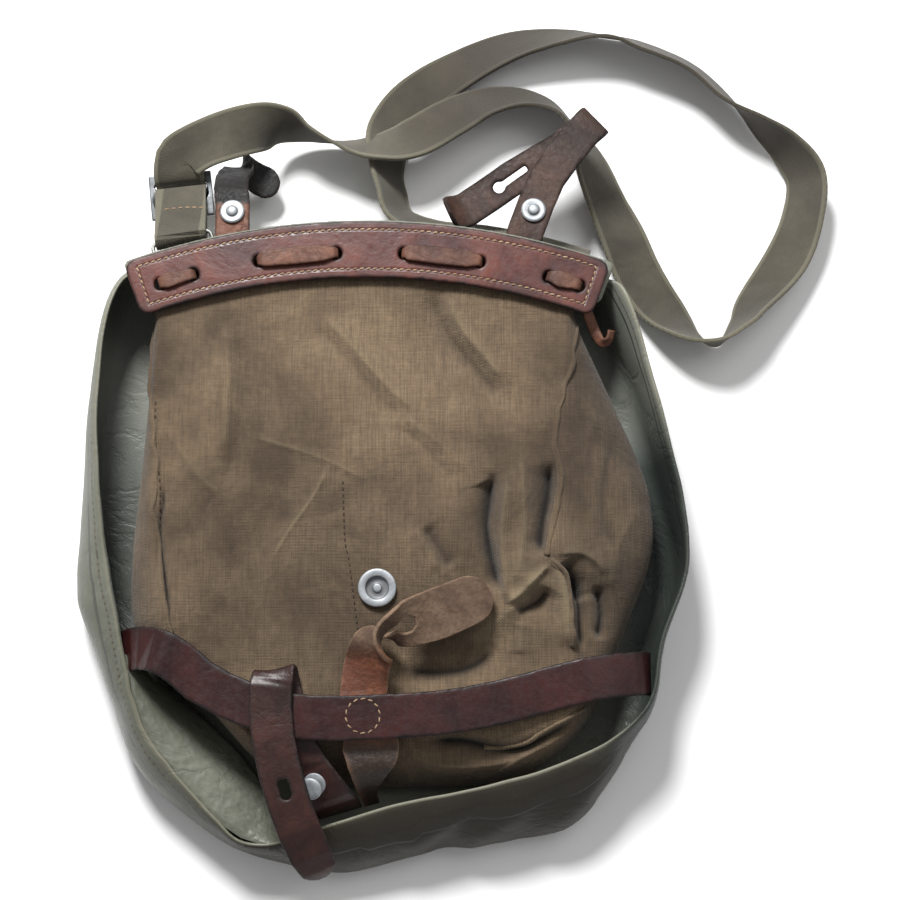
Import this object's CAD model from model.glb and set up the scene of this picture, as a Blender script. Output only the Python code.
# %% [markdown]
# # A worn haversack, lying on its flap
# The bag lies face down, so its coated flap is at the bottom and curls up round the canvas pouch.
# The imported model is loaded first. It is the fixed frame that every piece below is made to fit.

# %% Load the frame
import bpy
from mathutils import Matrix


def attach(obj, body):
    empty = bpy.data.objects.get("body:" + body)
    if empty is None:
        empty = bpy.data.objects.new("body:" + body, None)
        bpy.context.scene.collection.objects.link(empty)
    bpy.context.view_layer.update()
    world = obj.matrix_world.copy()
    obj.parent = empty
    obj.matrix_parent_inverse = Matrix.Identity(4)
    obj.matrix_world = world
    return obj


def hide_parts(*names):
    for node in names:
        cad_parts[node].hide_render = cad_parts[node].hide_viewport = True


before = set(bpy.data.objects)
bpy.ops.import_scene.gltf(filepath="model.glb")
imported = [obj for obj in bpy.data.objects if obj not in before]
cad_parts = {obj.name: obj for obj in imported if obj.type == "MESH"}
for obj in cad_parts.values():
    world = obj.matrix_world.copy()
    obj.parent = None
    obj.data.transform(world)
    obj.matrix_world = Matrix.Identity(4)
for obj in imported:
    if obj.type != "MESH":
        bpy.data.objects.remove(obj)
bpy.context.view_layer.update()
print("frame:", len(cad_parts), "nodes")

# %% Modules used in this lesson
import math
import bmesh
import bpy
import numpy as np
from mathutils import Matrix, Vector, noise
from mathutils.bvhtree import BVHTree

MM = 0.001

# %% [markdown]
# ## Camera
# The photograph looks almost straight down, 10 degrees off the vertical, from 0.9 m.
# A 72 mm lens on a 36 mm sensor sees the same field of view.

# %% Camera
AIM = Vector((0.0325, 0.056, 0.0))
DISTANCE = 0.9
ELEVATION = math.radians(80)
LENS, SENSOR = 72, 36
PHOTO_SIDE = 900
forward = Vector((0, math.cos(ELEVATION), -math.sin(ELEVATION)))
camera_place = AIM - forward * DISTANCE
camera_data = bpy.data.cameras.new("camera")
camera_data.lens = LENS
camera_data.sensor_width = SENSOR
camera_data.clip_start = 0.01
camera = bpy.data.objects.new("camera", camera_data)
camera.location = camera_place
camera.rotation_euler = (math.radians(90) - ELEVATION, 0, 0)
bpy.context.scene.collection.objects.link(camera)
bpy.context.scene.camera = camera
print("camera at", tuple(round(v, 4) for v in camera_place))

# %% [markdown]
# Marks such as creases and seams are easiest to give where the photograph shows them.
# This helper follows the line of sight through a photo pixel down to a height over the floor.

# %% From a photo pixel to a place
FOCAL = LENS / SENSOR * PHOTO_SIDE
view_up = Vector((0, math.sin(ELEVATION), math.cos(ELEVATION)))


def place_of(across_px, down_px, height):
    """World x and y, in metres, of a photo pixel at a height over the floor."""
    half = PHOTO_SIDE / 2
    ray = forward + Vector((1, 0, 0)) * ((across_px - half) / FOCAL) + view_up * ((half - down_px) / FOCAL)
    reach = (height - camera_place.z) / ray.z
    spot = camera_place + ray * reach
    return spot.x, spot.y


print("photo middle on the floor:", [round(v, 4) for v in place_of(450, 450, 0)])

# %% [markdown]
# ## Helpers for meshes
# Most pieces start as a copy of the solid that they stand for, so they sit exactly where it is.
# A copy is welded and its triangles are joined to four-sided faces, so that it can be subdivided.

# %% Mesh helpers


def welded_copy(node, join=True):
    """A mesh like the node's, with its corners joined and most triangles paired up."""
    work = bmesh.new()
    work.from_mesh(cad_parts[node].data)
    bmesh.ops.remove_doubles(work, verts=work.verts, dist=0.00002)
    if join:
        bmesh.ops.join_triangles(work, faces=work.faces, angle_face_threshold=math.radians(50),
                                 angle_shape_threshold=math.radians(60))
    mesh = bpy.data.meshes.new(node + "_copy")
    work.to_mesh(mesh)
    work.free()
    mesh.materials.clear()
    return mesh


def show(name, mesh, material, nodes=(), slot=None):
    """Puts a mesh into the scene as a piece that rides on the bag."""
    mesh.name = name
    thing = bpy.data.objects.new(name, mesh)
    bpy.context.scene.collection.objects.link(thing)
    mesh.materials.clear()
    mesh.materials.append(material)
    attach(thing, "root")
    if nodes:
        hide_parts(*nodes)
    return thing


def smooth(mesh):
    mesh.polygons.foreach_set("use_smooth", [True] * len(mesh.polygons))
    mesh.update()


def mesh_from(work, name, turn_out=True):
    """Makes a smooth mesh of a bmesh, with its faces turned outward."""
    if turn_out:
        bmesh.ops.recalc_face_normals(work, faces=work.faces)
    mesh = bpy.data.meshes.new(name)
    work.to_mesh(mesh)
    work.free()
    smooth(mesh)
    return mesh


def bridge(work, rings, closed=True):
    """Joins each row of points to the next. Closed rows are rings, and both ends are capped."""
    count = len(rings[0])
    for first, second in zip(rings[:-1], rings[1:]):
        for k in range(count if closed else count - 1):
            j = (k + 1) % count
            work.faces.new((first[k], first[j], second[j], second[k]))
    if closed:
        work.faces.new(rings[0][::-1])
        work.faces.new(rings[-1])


def keep_result(thing):
    """Applies the modifiers of a piece."""
    graph = bpy.context.evaluated_depsgraph_get()
    mesh = bpy.data.meshes.new_from_object(thing.evaluated_get(graph))
    thing.modifiers.clear()
    old = thing.data
    thing.data = mesh
    mesh.name = thing.name
    bpy.data.meshes.remove(old)
    smooth(mesh)


def points_of(mesh):
    flat = np.empty(len(mesh.vertices) * 3)
    mesh.vertices.foreach_get("co", flat)
    return flat.reshape(-1, 3)


def normals_of(mesh):
    flat = np.empty(len(mesh.vertices) * 3)
    mesh.vertices.foreach_get("normal", flat)
    return flat.reshape(-1, 3)


def move_to(mesh, points):
    mesh.vertices.foreach_set("co", points.ravel())
    mesh.update()


def mark(mesh, name, values):
    """Stores one number for each point, for the material to read."""
    field = mesh.attributes.get(name) or mesh.attributes.new(name, "FLOAT", "POINT")
    field.data.foreach_set("value", np.asarray(values, dtype=np.float32))


def subdivided(thing, levels):
    step = thing.modifiers.new("soft", "SUBSURF")
    step.levels = levels
    step.render_levels = levels
    keep_result(thing)


def rounded_by_voxels(thing, voxel, passes):
    """Rebuilds a strap from small cubes, which rounds its cut edges, and smooths it."""
    grid = thing.modifiers.new("grid", "REMESH")
    grid.mode = "VOXEL"
    grid.voxel_size = voxel
    ease = thing.modifiers.new("ease", "SMOOTH")
    ease.factor = 0.5
    ease.iterations = passes
    keep_result(thing)


def mark_edges(mesh, strength=1.0, passes=3):
    """Marks how far each point stands out from its neighbours: high on rubbed edges."""
    points = points_of(mesh)
    normals = normals_of(mesh)
    pairs = np.empty(len(mesh.edges) * 2, dtype=np.int64)
    mesh.edges.foreach_get("vertices", pairs)
    pairs = pairs.reshape(-1, 2)
    count = np.zeros(len(points))
    np.add.at(count, pairs.ravel(), 1)
    count = np.maximum(count, 1)

    def mean(values):
        total = np.zeros_like(values)
        np.add.at(total, pairs[:, 0], values[pairs[:, 1]])
        np.add.at(total, pairs[:, 1], values[pairs[:, 0]])
        return total / (count[:, None] if values.ndim == 2 else count)

    stand = ((points - mean(points)) * normals).sum(1)
    scale = np.percentile(stand, 98) + 1e-9
    edge = np.clip(stand / scale, 0, 1.5) * strength
    for _ in range(passes):
        edge = 0.5 * edge + 0.5 * mean(edge)
    mark(mesh, "edge", np.clip(edge, 0, 1))


def cloud(point, size, seed=0.0):
    """Smooth noise between -1 and 1, with lumps of a given size."""
    return noise.noise(Vector((point[0] / size + seed, point[1] / size - seed, point[2] / size + 2 * seed)))


# %% [markdown]
# ## Shared effects as node groups
# Grain, weave, mottling and edge wear appear on several materials. Each is built once as a group
# with named inputs, and every material then places it with its own sizes.

# %% Group helpers


def new_group(name, inputs, outputs):
    group = bpy.data.node_groups.new(name, "ShaderNodeTree")
    for label, kind, value in inputs:
        socket = group.interface.new_socket(name=label, in_out="INPUT", socket_type=kind)
        if value is not None:
            socket.default_value = value
    for label, kind in outputs:
        group.interface.new_socket(name=label, in_out="OUTPUT", socket_type=kind)
    return group, group.nodes.new("NodeGroupInput"), group.nodes.new("NodeGroupOutput")


def put(tree, socket, value):
    """Sets a socket, or links it where the value is another node's output."""
    if isinstance(value, bpy.types.NodeSocket):
        tree.links.new(value, socket)
    else:
        socket.default_value = value


def add(tree, kind, values=None, **settings):
    """Adds a node, sets its options by name and its sockets by label or number."""
    made = tree.nodes.new(kind)
    for key, value in settings.items():
        setattr(made, key, value)
    for key, value in (values or {}).items():
        put(tree, made.inputs[key], value)
    return made


def sum_of(tree, operation, first, second=0.5, third=None, clamp=False):
    values = {0: first, 1: second} if third is None else {0: first, 1: second, 2: third}
    return add(tree, "ShaderNodeMath", values, operation=operation, use_clamp=clamp).outputs[0]


def blend_colours(tree, factor, first, second):
    return add(tree, "ShaderNodeMix", {0: factor, 6: first, 7: second}, data_type="RGBA").outputs[2]


def ramp(tree, value, low, high):
    """Stretches a value so that low becomes 0 and high becomes 1."""
    return add(tree, "ShaderNodeMapRange", {"Value": value, "From Min": low, "From Max": high}).outputs[0]


# %% Mottling: broad stains and fine specks
mottling, m_in, m_out = new_group(
    "mottling",
    [("Place", "NodeSocketVector", None), ("Stains per metre", "NodeSocketFloat", 14.0),
     ("Specks per metre", "NodeSocketFloat", 220.0)],
    [("Stains", "NodeSocketFloat"), ("Specks", "NodeSocketFloat")])
stains = add(mottling, "ShaderNodeTexNoise", {
    "Vector": m_in.outputs["Place"], "Scale": m_in.outputs["Stains per metre"], "Detail": 6.0,
    "Roughness": 0.6, "Distortion": 0.4})
specks = add(mottling, "ShaderNodeTexNoise", {
    "Vector": m_in.outputs["Place"], "Scale": m_in.outputs["Specks per metre"], "Detail": 4.0,
    "Roughness": 0.65})
mottling.links.new(ramp(mottling, stains.outputs[0], 0.36, 0.64), m_out.inputs["Stains"])
mottling.links.new(ramp(mottling, specks.outputs[0], 0.33, 0.67), m_out.inputs["Specks"])

# %% Grain: pores and fine creases of leather or of a coated cloth
grain, g_in, g_out = new_group(
    "grain",
    [("Place", "NodeSocketVector", None), ("Pores per metre", "NodeSocketFloat", 900.0),
     ("Creases per metre", "NodeSocketFloat", 60.0)],
    [("Height", "NodeSocketFloat"), ("Creases", "NodeSocketFloat")])
pores = add(grain, "ShaderNodeTexVoronoi", {
    "Vector": g_in.outputs["Place"], "Scale": g_in.outputs["Pores per metre"], "Randomness": 0.9},
    feature="F1")
folds = add(grain, "ShaderNodeTexNoise", {
    "Vector": g_in.outputs["Place"], "Scale": g_in.outputs["Creases per metre"], "Detail": 5.0,
    "Roughness": 0.55, "Distortion": 1.2})
thin = sum_of(grain, "ABSOLUTE", sum_of(grain, "SUBTRACT", folds.outputs[0], 0.5))
crease_line = ramp(grain, thin, 0.0, 0.05)
height = sum_of(grain, "MULTIPLY_ADD", pores.outputs["Distance"], 0.35, crease_line)
grain.links.new(height, g_out.inputs["Height"])
grain.links.new(crease_line, g_out.inputs["Creases"])

# %% Weave: threads over and under each other
weave, w_in, w_out = new_group(
    "weave",
    [("Place", "NodeSocketVector", None), ("Threads per metre", "NodeSocketFloat", 1300.0),
     ("Slant", "NodeSocketFloat", 0.0)],
    [("Height", "NodeSocketFloat"), ("Threads", "NodeSocketFloat")])
split = add(weave, "ShaderNodeSeparateXYZ", {0: w_in.outputs["Place"]})
turns = sum_of(weave, "MULTIPLY", w_in.outputs["Threads per metre"], math.pi)
slide = sum_of(weave, "MULTIPLY", split.outputs[1], w_in.outputs["Slant"])
warp_place = sum_of(weave, "MULTIPLY", sum_of(weave, "ADD", split.outputs[0], slide), turns)
weft_place = sum_of(weave, "MULTIPLY", split.outputs[1], turns)
warp = sum_of(weave, "ABSOLUTE", sum_of(weave, "SINE", warp_place))
weft = sum_of(weave, "ABSOLUTE", sum_of(weave, "SINE", weft_place))
over = sum_of(weave, "MULTIPLY", sum_of(weave, "SINE", warp_place), sum_of(weave, "SINE", weft_place))
over = sum_of(weave, "GREATER_THAN", over, 0.0)
thread = add(weave, "ShaderNodeMix", {0: over, 2: weft, 3: warp}, data_type="FLOAT")
weave.links.new(thread.outputs[0], w_out.inputs["Height"])
weave.links.new(ramp(weave, thread.outputs[0], 0.0, 0.7), w_out.inputs["Threads"])

# %% Edge wear: rubbed edges, broken up by noise
wear, e_in, e_out = new_group(
    "edge_wear",
    [("Place", "NodeSocketVector", None), ("Edge", "NodeSocketFloat", 0.0),
     ("Amount", "NodeSocketFloat", 0.6)],
    [("Rubbed", "NodeSocketFloat")])
patchy = add(wear, "ShaderNodeTexNoise", {
    "Vector": e_in.outputs["Place"], "Scale": 90.0, "Detail": 5.0, "Roughness": 0.7})
broken = sum_of(wear, "MULTIPLY", e_in.outputs["Edge"], ramp(wear, patchy.outputs[0], 0.3, 0.62))
rubbed = sum_of(wear, "MULTIPLY", broken, e_in.outputs["Amount"], clamp=True)
wear.links.new(rubbed, e_out.inputs["Rubbed"])
print("groups:", [g.name for g in (mottling, grain, weave, wear)])

# %% [markdown]
# ## Materials
# A material is built up like paint. It starts with two tones that follow its stains, more tones are laid
# over them where a mask says so, and bumps come last. Numbers that are the same all over a surface, such
# as sheen, are set on the shader itself.

# %% Material helpers
SHADE = 0.86


def colour(red, green, blue, shade=SHADE):
    """A colour as a photograph shows it, from 0 to 255; dull surfaces give back a share less than that."""
    def straight(value):
        value = value / 255
        return value / 12.92 if value <= 0.04045 else ((value + 0.055) / 1.055) ** 2.4
    return (shade * straight(red), shade * straight(green), shade * straight(blue), 1.0)


def as_colour(tone):
    """Three numbers from 0 to 255 become a colour; a ready colour or a node's output stays as it is."""
    ready = isinstance(tone, bpy.types.NodeSocket) or len(tone) == 4
    return tone if ready else colour(*tone)


class Surface:
    """A material in the making, with its node tree, its shader and its colour so far."""

    def __init__(self, name, **values):
        self.material = bpy.data.materials.new(name)
        self.material.use_nodes = True
        self.tree = self.material.node_tree
        self.shader = self.tree.nodes["Principled BSDF"]
        for key, value in values.items():
            self.shader.inputs[key.replace("_", " ")].default_value = value
        self.place = self.tree.nodes.new("ShaderNodeTexCoord").outputs["Object"]
        self.x, self.y = add(self.tree, "ShaderNodeSeparateXYZ", {0: self.place}).outputs[:2]

    def math(self, operation, *values):
        return sum_of(self.tree, operation, *values)

    def times(self, first, second):
        return self.math("MULTIPLY", first, second)

    def ramp(self, value, low, high):
        return ramp(self.tree, value, low, high)

    def mark(self, name):
        return add(self.tree, "ShaderNodeAttribute", attribute_name=name).outputs["Fac"]

    def use(self, group, values, place=None):
        values = {"Place": self.place if place is None else place, **values}
        return add(self.tree, "ShaderNodeGroup", values, node_tree=group).outputs

    def stretched_noise(self, stretch, detail):
        spot = add(self.tree, "ShaderNodeMapping", {"Vector": self.place, "Scale": stretch}).outputs[0]
        values = {"Vector": spot, "Scale": 1.0, "Detail": detail}
        return add(self.tree, "ShaderNodeTexNoise", values).outputs[0]

    def mottle(self, stains, specks):
        made = self.use(mottling, {"Stains per metre": stains, "Specks per metre": specks})
        self.stains, self.specks = made["Stains"], made["Specks"]

    def start(self, dark, light, mask=None):
        """The first two tones, mixed by the stains or by another mask."""
        mask = self.stains if mask is None else mask
        self.tone = blend_colours(self.tree, mask, as_colour(dark), as_colour(light))

    def lay(self, tone, mask, share=1.0):
        """Lays a tone over the colour so far where the mask is, up to a share."""
        amount = mask if share == 1.0 else self.times(mask, share)
        self.tone = blend_colours(self.tree, amount, self.tone, as_colour(tone))

    def done(self, layers, roughness=None):
        """Links colour, roughness and bumps. A bump is a height, its depth in metres and a strength."""
        self.tree.links.new(self.tone, self.shader.inputs["Base Color"])
        if roughness is not None:
            self.tree.links.new(roughness, self.shader.inputs["Roughness"])
        last = None
        for height, depth, strength in layers:
            values = {"Height": height, "Distance": depth, "Strength": strength}
            made = add(self.tree, "ShaderNodeBump", values if last is None else {**values, "Normal": last})
            last = made.outputs[0]
        self.tree.links.new(last, self.shader.inputs["Normal"])
        return self.material


# %% [markdown]
# Coated cloth: cotton with a grey-green rubbery coat. It has a fine pebbled grain, a soft gloss and
# shallow creases where it was folded. Its hem is turned and stitched a few millimetres below the rim,
# so the material reads two marks: how far a point is below the rim, and how far round the bag it is.
# The lining side is paler, and the low and right-hand walls are the dirtiest.

# %% Coated cloth
HEM_STITCH, HEM_EDGE = 3.2, 7.6
cloth = Surface("coated_cloth", Roughness=0.5, Specular_IOR_Level=0.4)
cloth.mottle(9.0, 260.0)
skin = cloth.use(grain, {"Pores per metre": 1100.0, "Creases per metre": 26.0})
below, around, outside, lining = [cloth.mark(m) for m in ("below_rim", "around", "outside", "lining")]
cloth.start((104, 106, 94), (128, 129, 116))
cloth.lay((92, 95, 84), cloth.specks, 0.35)
cloth.lay((150, 154, 148), cloth.times(lining, cloth.ramp(cloth.y, -0.03, 0.05)), 0.4)
line = cloth.math("LESS_THAN", cloth.math("ABSOLUTE", cloth.math("SUBTRACT", below, HEM_STITCH)), 0.55)
dash = cloth.math("GREATER_THAN", cloth.math("SINE", cloth.times(around, 1.9)), -0.35)
stitched = cloth.times(line, dash)
hem_shade = cloth.math("ABSOLUTE", cloth.math("SUBTRACT", below, HEM_EDGE))
cloth.lay((50, 54, 48), cloth.ramp(hem_shade, 1.0, 0.0), 0.55)
cloth.lay((46, 48, 42), line, 0.5)
cloth.lay((122, 116, 96), stitched, 0.6)
cloth.lay((142, 138, 118), cloth.ramp(below, 1.2, 0.0), 0.5)
worn_low = cloth.times(cloth.ramp(cloth.y, -0.06, -0.10), cloth.ramp(cloth.x, -0.11, -0.06))
cloth.lay((42, 37, 29), cloth.times(worn_low, outside), 0.95)
worn_right = cloth.ramp(cloth.math("MULTIPLY_ADD", cloth.stains, 0.012, cloth.x), 0.108, 0.132)
cloth.lay((32, 42, 42), cloth.times(worn_right, cloth.ramp(cloth.y, 0.080, 0.045)), 0.85)
worn_left = cloth.times(cloth.ramp(cloth.x, -0.112, -0.124), cloth.ramp(cloth.y, 0.10, 0.03))
cloth.lay((40, 46, 43), cloth.times(worn_left, lining), 0.85)
hem_step = cloth.ramp(below, HEM_EDGE - 0.2, HEM_EDGE - 0.8)
coated = cloth.done([(skin["Height"], 0.0005, 0.35), (hem_step, 0.0008, 0.8), (stitched, 0.0005, 0.8)],
                    cloth.ramp(cloth.stains, -1.2, 2.6))

# %% [markdown]
# Canvas: a coarse brown cotton, dirty and rubbed. The threads are thick and uneven, so a plain weave
# is mixed with long slubs, most of them upright. Creases catch dirt and ridges are rubbed pale.

# %% Canvas


def canvas_finish(name, dark, light, dirt):
    cloth = Surface(name, Roughness=0.95, Sheen_Weight=0.12, Sheen_Roughness=0.5)
    cloth.mottle(16.0, 330.0)
    threads = cloth.use(weave, {"Threads per metre": 1450.0})
    level = cloth.ramp(cloth.stretched_noise((90.0, 1700.0, 200.0), 2.0), 0.3, 0.7)
    upright = cloth.ramp(cloth.stretched_noise((1500.0, 60.0, 200.0), 2.0), 0.3, 0.7)
    yarn = cloth.math("MULTIPLY_ADD", level, 0.3, cloth.times(upright, 0.7))
    crease = cloth.mark("crease")
    cloth.start(dark, light)
    cloth.lay(dark, cloth.ramp(yarn, 0.35, 0.75), 0.42)
    cloth.lay(dirt, cloth.specks, 0.22)
    cloth.lay(dirt, cloth.ramp(crease, 0.0, -1.0))
    cloth.lay((152, 137, 108), cloth.ramp(crease, 0.15, 1.0), 0.5)
    cloth.lay(dirt, cloth.math("SUBTRACT", 1.0, threads["Threads"]), 0.2)
    cloth.lay(dirt, cloth.ramp(cloth.x, 0.086, 0.094), 0.42)
    return cloth.done([(threads["Height"], 0.0003, 0.5), (yarn, 0.0006, 0.5), (cloth.stains, 0.0022, 0.4)])


canvas = canvas_finish("canvas", (82, 67, 51), (137, 116, 91), (30, 23, 17))
canvas_lip = canvas_finish("canvas_lip", (90, 74, 56), (136, 116, 90), (50, 40, 30))

# %% [markdown]
# Leather: every strap is the same kind of harness leather, but each has its own colour and wear.
# One helper makes them all. The edge tone darkens burnished edges and the seam.

# %% Leather


def leather_finish(name, deep, warm, edge_tone, edge_amount, gloss, coat=0.25, creases=70.0, crack=0.3,
                   relief=0.35):
    hide = Surface(name, Specular_IOR_Level=0.32, Coat_Weight=coat, Coat_Roughness=0.35)
    hide.mottle(38.0, 420.0)
    skin = hide.use(grain, {"Pores per metre": 1300.0, "Creases per metre": creases})
    rubbed = hide.use(wear, {"Edge": hide.mark("edge"), "Amount": edge_amount})["Rubbed"]
    seam = hide.mark("seam")
    half_deep = [0.5 * v for v in colour(*deep)[:3]] + [1.0]
    hide.start(deep, warm)
    hide.lay(deep, hide.specks, 0.3)
    hide.lay(half_deep, hide.math("SUBTRACT", 1.0, skin["Creases"]), crack)
    hide.lay(edge_tone, rubbed)
    hide.lay(edge_tone, seam, 0.6)
    matte = hide.math("MULTIPLY_ADD", hide.specks, 0.22, gloss - 0.08)
    matte = hide.math("MULTIPLY_ADD", rubbed, 0.35, matte)
    return hide.done([(skin["Height"], 0.0002, 0.7 * relief), (hide.stains, 0.0012, relief),
                      (hide.math("SUBTRACT", 1.0, seam), 0.0004, 0.7)], matte)


band_leather = leather_finish("band_leather", (66, 29, 26), (112, 57, 45), (28, 17, 16), 1.6, 0.36,
                              coat=0.18, creases=34.0, crack=0.10, relief=0.16)
strap_leather = leather_finish("strap_leather", (40, 17, 18), (66, 31, 29), (20, 12, 12), 1.3, 0.36,
                               coat=0.16, crack=0.18, relief=0.22)
closing_leather = leather_finish("closing_leather", (42, 23, 21), (72, 42, 36), (18, 12, 11), 1.2, 0.38,
                                 crack=0.25)
dark_leather = leather_finish("dark_leather", (42, 29, 24), (84, 59, 48), (26, 19, 17), 1.1, 0.55, coat=0.0)
thong_leather = leather_finish("thong_leather", (80, 52, 42), (134, 90, 71), (50, 32, 27), 0.9, 0.58,
                               coat=0.05, creases=110.0)

# %% [markdown]
# The tab at the left is brown where it leaves the band and almost black from its bend to its tip.
# A gradient over the tab's length mixes the two leathers.

# %% Tab leather
BEND_START, BEND_END = 0.1702, 0.1724
tab = Surface("tab_leather", Specular_IOR_Level=0.3)
tab.mottle(60.0, 500.0)
skin = tab.use(grain, {"Pores per metre": 1300.0, "Creases per metre": 80.0})
rubbed = tab.use(wear, {"Edge": tab.mark("edge"), "Amount": 0.8})["Rubbed"]
bend = tab.ramp(tab.math("MULTIPLY_ADD", tab.stains, 0.0014, tab.y), BEND_START, BEND_END)
tab.start((122, 80, 62), (19, 19, 19), bend)
tab.lay((30, 22, 20), tab.specks, 0.35)
tab.lay((24, 17, 15), tab.math("SUBTRACT", 1.0, skin["Creases"]), 0.4)
tab.lay((34, 24, 20), rubbed)
tab_leather = tab.done([(skin["Height"], 0.0004, 0.45), (tab.stains, 0.001, 0.3)],
                       tab.math("MULTIPLY_ADD", tab.specks, 0.2, 0.5))

# %% [markdown]
# The tongue shows its smooth side where it comes up and its rough flesh side once it has curled over.
# The rough side has no gloss and a felted surface, so it gets its own height and its own colours. Below
# the cross strap most of the tongue lies in a dark hollow, past a line that slants down to the right.

# %% Suede tongue
HOLLOW_LEVEL, HOLLOW_BLUR = 0.034, 0.003
hide = Surface("suede", Roughness=0.85)
hide.mottle(45.0, 520.0)
nap = add(hide.tree, "ShaderNodeTexNoise", {
    "Vector": hide.place, "Scale": 900.0, "Detail": 5.0, "Roughness": 0.75}).outputs[0]
rubbed = hide.use(wear, {"Edge": hide.mark("edge"), "Amount": 0.9})["Rubbed"]
flesh, low = hide.ramp(hide.y, -0.052, -0.044), hide.ramp(hide.y, -0.086, -0.094)
hide.start((80, 60, 46), (128, 105, 85))
rough_tone = hide.tone
hide.start((110, 62, 42), (168, 104, 72))
hide.lay(rough_tone, flesh)
hide.lay((104, 74, 56), low)
hollow_top, hollow_end = place_of(342, 740, HOLLOW_LEVEL), place_of(366, 806, HOLLOW_LEVEL)
lean = (hollow_end[0] - hollow_top[0]) / (hollow_end[1] - hollow_top[1])
past_edge = hide.math("MULTIPLY_ADD", hide.y, -lean, hide.x)
past_edge = hide.math("MULTIPLY_ADD", nap, HOLLOW_BLUR, past_edge)
start = hollow_top[0] - lean * hollow_top[1]
hide.lay((22, 16, 12), hide.times(hide.ramp(past_edge, start, start + HOLLOW_BLUR), low), 0.9)
hide.lay((58, 38, 28), hide.specks, 0.45)
hide.lay((140, 114, 92), rubbed)
suede = hide.done([(nap, 0.0006, 0.6), (hide.stains, 0.001, 0.4)],
                  hide.math("MULTIPLY_ADD", flesh, 0.35, 0.5))

# %% [markdown]
# Webbing: a thick woven tape. Its map coordinates are the distance across and along the tape, so the
# weave follows every bend. Its edges are firmer and paler, and the far loop of the strap is grimy.

# %% Webbing
tape = Surface("webbing", Roughness=0.92, Sheen_Weight=0.15, Sheen_Roughness=0.5)
tape.mottle(22.0, 380.0)
on_tape = tape.tree.nodes.new("ShaderNodeTexCoord").outputs["UV"]
threads = tape.use(weave, {"Threads per metre": 1700.0, "Slant": 0.6}, on_tape)
side = add(tape.tree, "ShaderNodeSeparateXYZ", {0: on_tape}).outputs[0]
selvedge = tape.ramp(tape.math("ABSOLUTE", side), 0.0098, 0.0106)
tape.start((68, 63, 53), (104, 98, 84))
tape.lay((70, 66, 50), tape.specks, 0.3)
tape.lay((44, 40, 32), tape.math("SUBTRACT", 1.0, threads["Threads"]), 0.45)
tape.lay((150, 146, 124), selvedge, 0.35)
far = tape.ramp(tape.math("MULTIPLY_ADD", tape.stains, 0.03, tape.y), 0.204, 0.236)
tape.lay((54, 47, 38), tape.times(far, tape.ramp(tape.x, -0.02, 0.04)), 0.8)
webbing = tape.done([(threads["Height"], 0.0003, 0.6), (selvedge, 0.0003, 0.5), (tape.stains, 0.001, 0.3)])

# %% [markdown]
# Metal: satin aluminium for rivets and studs, and dull steel for the ring and the slide. Fine
# scratches change the roughness, and dirt gathers in the hollows that are marked for it.

# %% Metals


def metal_finish(name, low_tone, high_tone, low, high, metallic=1.0):
    metal = Surface(name, Metallic=metallic)
    metal.mottle(160.0, 900.0)
    scratch = metal.stretched_noise((300.0, 3200.0, 900.0), 3.0)
    metal.start(low_tone, high_tone)
    metal.lay(low_tone, metal.specks, 0.2)
    metal.lay((60, 58, 54), metal.mark("dirt"), 0.6)
    spread = add(metal.tree, "ShaderNodeMapRange", {
        "Value": scratch, "From Min": 0.3, "From Max": 0.7, "To Min": low, "To Max": high})
    return metal.done([(scratch, 0.0001, 0.3)], spread.outputs[0])


aluminium = metal_finish("aluminium", colour(150, 154, 158, 1), colour(184, 188, 192, 1), 0.45, 0.62,
                         metallic=0.6)
ring_steel = metal_finish("ring_steel", colour(150, 150, 146, 1), colour(190, 190, 186, 1), 0.35, 0.55)
buckle_steel = metal_finish("buckle_steel", colour(84, 86, 88, 1), colour(118, 120, 122, 1), 0.4, 0.6)

# %% [markdown]
# Thread: waxed linen, pale on the leather and dark brown on the canvas, with fine specks.

# %% Thread


def thread_finish(name, dark, light):
    yarn = Surface(name, Roughness=0.8)
    yarn.mottle(60.0, 1500.0)
    yarn.start(dark, light)
    yarn.lay(dark, yarn.specks, 0.4)
    return yarn.done([(yarn.specks, 0.0002, 0.6)])


tan_thread = thread_finish("tan_thread", (138, 106, 80), (198, 172, 140))
dark_thread = thread_finish("dark_thread", (48, 38, 28), (74, 60, 44))
print("materials:", len(bpy.data.materials))

# %% [markdown]
# ## The canvas pouch
# The solid already has the pouch's outline and its large folds. Its copy is subdivided, then the
# creases of the panel are pressed in. Each crease is a line between points of the photograph, with a
# width and a depth in millimetres; a ridge has a positive depth.

# %% Creases of the pouch
PANEL_HEIGHT = 0.046
# How a hollow or a ridge changes the colour, unless its row ends with a number of its own
DIRTY, RUBBED = -1.25, 0.5
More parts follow.
